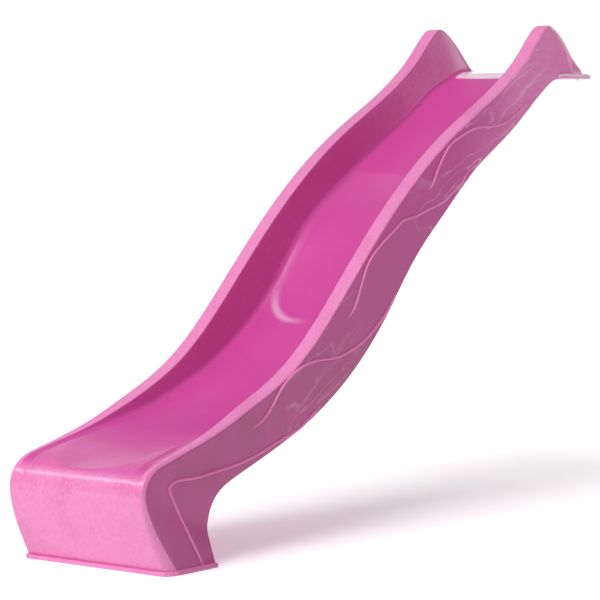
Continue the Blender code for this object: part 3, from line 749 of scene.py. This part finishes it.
def polyethylene():
    """Moulded polyethylene: coloured through, with flow marks, chalky where it is worn, with painted sheen,
    highlights and reflections, and painted shade low on the side faces.
    """
    material, tree, shader = new_material("pink_polyethylene_skin", 0.30)
    place = tree.nodes.new("ShaderNodeTexCoord").outputs["Object"]
    cloud = noise(tree, place, 3.0, 4.0)
    pitted = noise(tree, place, 150.0, 3.0, (1.0, 1.0, 2.2))
    mottle = combine(tree, "ADD", rescale(tree, cloud, 0.30, 0.70, 0.0, 0.6),
                     rescale(tree, pitted, 0.30, 0.70, 0.0, 0.4))
    body = ramp(tree, mottle, ((0.0, PINK_DEEP), (1.0, PINK)))
    speckle = rescale(tree, pitted, 0.30, 0.70, 0.74, 1.18)
    haze = rescale(tree, noise(tree, place, 5.0, 2.0), 0.35, 0.65, 0.80, 1.15)
    # Painted sheen and highlights, with some wear.
    sheen_and_wear_share = combine(tree, "MULTIPLY", attribute(tree, "sheen_and_wear"), haze)
    sheen_and_wear_share = combine(tree, "MULTIPLY", sheen_and_wear_share, speckle)
    flow = noise(tree, place, 15.0, 2.0, (1.0, 4.5, 1.0), 0.8, math.radians(28.0))
    strand = ramp(tree, flow, ((0.46, (0, 0, 0)), (0.50, (1, 1, 1)), (0.515, (0, 0, 0))))
    strand = combine(tree, "MULTIPLY", strand, attribute(tree, "swirl"))
    pale = rescale(tree, strand, 0.0, 1.0, 0.0, 0.30)
    white = combine(tree, "MAXIMUM", attribute(tree, "painted_highlight"), pale)
    colour = tree.nodes.new("ShaderNodeMix")
    colour.data_type = "RGBA"
    colour.inputs["B"].default_value = (*PINK_CHALK_AND_SHEEN, 1.0)
    tree.links.new(sheen_and_wear_share, colour.inputs["Factor"])
    # Painted shade, darker low on the side faces.
    side_shaded = tree.nodes.new("ShaderNodeMix")
    side_shaded.data_type = "RGBA"
    side_shaded.inputs["B"].default_value = (*PINK_SIDE_SHADE, 1.0)
    side_shade_mottle = rescale(tree, noise(tree, place, 9.0, 5.0), 0.30, 0.70, 0.60, 1.10)
    side_shade_share = combine(tree, "MULTIPLY", attribute(tree, "painted_side_shade"), side_shade_mottle)
    tree.links.new(combine(tree, "MULTIPLY", side_shade_share, speckle), side_shaded.inputs["Factor"])
    tree.links.new(body, side_shaded.inputs["A"])
    tree.links.new(side_shaded.outputs["Result"], colour.inputs["A"])
    # Painted highlights and reflection in near white.
    highlighted = tree.nodes.new("ShaderNodeMix")
    highlighted.data_type = "RGBA"
    highlighted.inputs["B"].default_value = (*HIGHLIGHT_WHITE, 1.0)
    tree.links.new(combine(tree, "MULTIPLY", white, haze), highlighted.inputs["Factor"])
    tree.links.new(colour.outputs["Result"], highlighted.inputs["A"])
    tree.links.new(highlighted.outputs["Result"], shader.inputs["Base Color"])
    uneven = rescale(tree, noise(tree, place, 14.0, 3.0), 0.30, 0.70, 0.285, 0.370)
    buffed = rescale(tree, attribute(tree, "polish"), 0.0, 1.0, 1.0, 0.30)
    tree.links.new(combine(tree, "MULTIPLY", uneven, buffed), shader.inputs["Roughness"])
    grain = noise(tree, place, 130.0, 2.0)
    bump = tree.nodes.new("ShaderNodeBump")
    bump.inputs["Strength"].default_value = 0.03
    bump.inputs["Distance"].default_value = 0.0010
    tree.links.new(grain, bump.inputs["Height"])
    swell = tree.nodes.new("ShaderNodeBump")
    swell.inputs["Strength"].default_value = 0.07
    swell.inputs["Distance"].default_value = 0.006
    tree.links.new(noise(tree, place, 16.0, 1.0), swell.inputs["Height"])
    tree.links.new(bump.outputs["Normal"], swell.inputs["Normal"])
    tree.links.new(swell.outputs["Normal"], shader.inputs["Normal"])
    shader.inputs["IOR"].default_value = 1.50
    return material


def zinc_steel():
    """Zinc-plated steel: pale grey metal with faint passivation clouds."""
    material, tree, shader = new_material("zinc_steel_finish", 0.36, 1.0)
    place = tree.nodes.new("ShaderNodeTexCoord").outputs["Object"]
    cloud = noise(tree, place, 90.0, 4.0)
    colour = ramp(tree, cloud, ((0.30, (0.50, 0.51, 0.53)), (0.70, (0.68, 0.68, 0.66))))
    tree.links.new(colour, shader.inputs["Base Color"])
    brushed = noise(tree, place, 900.0, 2.0, (1.0, 10.0, 1.0))
    bump = tree.nodes.new("ShaderNodeBump")
    bump.inputs["Strength"].default_value = 0.08
    bump.inputs["Distance"].default_value = 0.0003
    tree.links.new(brushed, bump.inputs["Height"])
    tree.links.new(bump.outputs["Normal"], shader.inputs["Normal"])
    return material


def stage_white():
    material, tree, shader = new_material("stage_white", 0.9)
    place = tree.nodes.new("ShaderNodeTexCoord").outputs["Object"]
    cloud = noise(tree, place, 2.0, 2.0)
    colour = ramp(tree, cloud, ((0.3, (0.84, 0.84, 0.84)), (0.7, (0.87, 0.87, 0.87))))
    tree.links.new(colour, shader.inputs["Base Color"])
    shader.inputs["Emission Color"].default_value = (1.0, 1.0, 1.0, 1.0)
    shader.inputs["Emission Strength"].default_value = 0.30
    return material


# ---------------------------------------------------------------- studio
def add_floor(material):
    size = FLOOR_HALF
    mesh = bpy.data.meshes.new("studio_floor")
    mesh.from_pydata([(-size, -size, 0), (size, -size, 0), (size, size, 0), (-size, size, 0)], [],
                     [(0, 1, 2, 3)])
    floor = bpy.data.objects.new("studio_floor", mesh)
    bpy.context.scene.collection.objects.link(floor)
    mesh.materials.append(material)


def add_area(name, place, size, tilt, power):
    """Strip light whose long side runs along X, tilted about X from facing straight down."""
    light = bpy.data.lights.new(name, "AREA")
    light.shape = "RECTANGLE"
    light.size, light.size_y = size
    light.energy = power
    lamp = bpy.data.objects.new(name, light)
    bpy.context.scene.collection.objects.link(lamp)
    lamp.location = place
    lamp.rotation_euler = (tilt, 0.0, 0.0)
    lamp.visible_camera = False


def add_sun(name, towards, strength, spread):
    light = bpy.data.lights.new(name, "SUN")
    light.energy = strength
    light.angle = math.radians(spread)
    lamp = bpy.data.objects.new(name, light)
    bpy.context.scene.collection.objects.link(lamp)
    lamp.rotation_euler = Vector(towards).to_track_quat("Z", "Y").to_euler()


def add_world():
    """White studio: bright overhead and on the sweep behind the slide, dimmer at the sides."""
    world = bpy.data.worlds.new("studio")
    world.use_nodes = True
    tree = world.node_tree
    direction = tree.nodes.new("ShaderNodeTexCoord").outputs["Generated"]
    levels = []
    for axis, low, high, lift in (((0.0, 0.0, 1.0), 0.0, 1.0, SKY_OVERHEAD),
                                  ((-0.61, 0.79, 0.0), 0.86, 0.985, SKY_SWEEP)):
        along = tree.nodes.new("ShaderNodeVectorMath")
        along.operation = "DOT_PRODUCT"
        along.inputs[1].default_value = axis
        tree.links.new(direction, along.inputs[0])
        level = tree.nodes.new("ShaderNodeMapRange")
        level.interpolation_type = "SMOOTHSTEP"
        level.inputs["From Min"].default_value = low
        level.inputs["From Max"].default_value = high
        level.inputs["To Max"].default_value = lift
        tree.links.new(along.outputs["Value"], level.inputs["Value"])
        levels.append(level.outputs["Result"])
    total = tree.nodes.new("ShaderNodeMath")
    total.operation = "ADD"
    base = tree.nodes.new("ShaderNodeMath")
    base.operation = "ADD"
    base.inputs[1].default_value = SKY_SIDES
    tree.links.new(levels[0], total.inputs[0])
    tree.links.new(levels[1], total.inputs[1])
    tree.links.new(total.outputs["Value"], base.inputs[0])
    lighting = tree.nodes["Background"]
    lighting.inputs["Color"].default_value = (1.0, 1.0, 1.0, 1.0)
    tree.links.new(base.outputs["Value"], lighting.inputs["Strength"])
    backdrop = tree.nodes.new("ShaderNodeBackground")
    backdrop.inputs["Color"].default_value = (1.0, 1.0, 1.0, 1.0)
    seen = tree.nodes.new("ShaderNodeLightPath")
    mix = tree.nodes.new("ShaderNodeMixShader")
    tree.links.new(seen.outputs["Is Camera Ray"], mix.inputs["Fac"])
    tree.links.new(lighting.outputs["Background"], mix.inputs[1])
    tree.links.new(backdrop.outputs["Background"], mix.inputs[2])
    tree.links.new(mix.outputs["Shader"], tree.nodes["World Output"].inputs["Surface"])
    bpy.context.scene.world = world


def add_camera():
    data = bpy.data.cameras.new("camera")
    data.lens = CAMERA_LENS
    data.sensor_width = 36.0
    data.clip_end = 100.0
    camera = bpy.data.objects.new("camera", data)
    bpy.context.scene.collection.objects.link(camera)
    turn = Matrix.Rotation(CAMERA_AZIMUTH, 4, "Z")
    turn = turn @ Matrix.Rotation(math.radians(90) - CAMERA_DROP, 4, "X")
    camera.matrix_world = Matrix.Translation(CAMERA_PLACE) @ turn @ Matrix.Rotation(CAMERA_ROLL, 4, "Z")
    bpy.context.scene.camera = camera


# ---------------------------------------------------------------- build
pink = polyethylene()
steel = zinc_steel()
rings = emboss(bevel(recess(body_rings())))
moulding = mesh_from_rings("moulded_body", rings)
moulding.shade_smooth()
moulding.set_sharp_from_angle(angle=math.radians(50.0))
add_piece("moulded_body", moulding, pink, "pink_polyethylene", "slide_body")
add_piece("wave_beads_right", bead_mesh("wave_beads_right", rings, 1.0), pink, "pink_polyethylene")
add_piece("wave_beads_left", bead_mesh("wave_beads_left", rings, -1.0), pink, "pink_polyethylene")

for name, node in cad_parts.items():
    if name != "slide_body":
        plastic = "cap" in name or "plug" in name
        node.data.materials.clear()
        node.data.materials.append(pink if plastic else steel)

add_floor(stage_white())
add_world()
add_sun("key", towards=(0.04, -0.62, 0.785), strength=2.40, spread=40.0)
add_area("rear_box", place=(0.50, 4.20, 2.10), size=(1.00, 0.80), tilt=math.radians(-75.0),
         power=4.0)
add_area("roll_box", place=(-1.04, -0.97, 1.38), size=(1.00, 0.20), tilt=math.radians(34.0),
         power=6.0)
add_camera()
bpy.context.scene.view_settings.view_transform = "Standard"
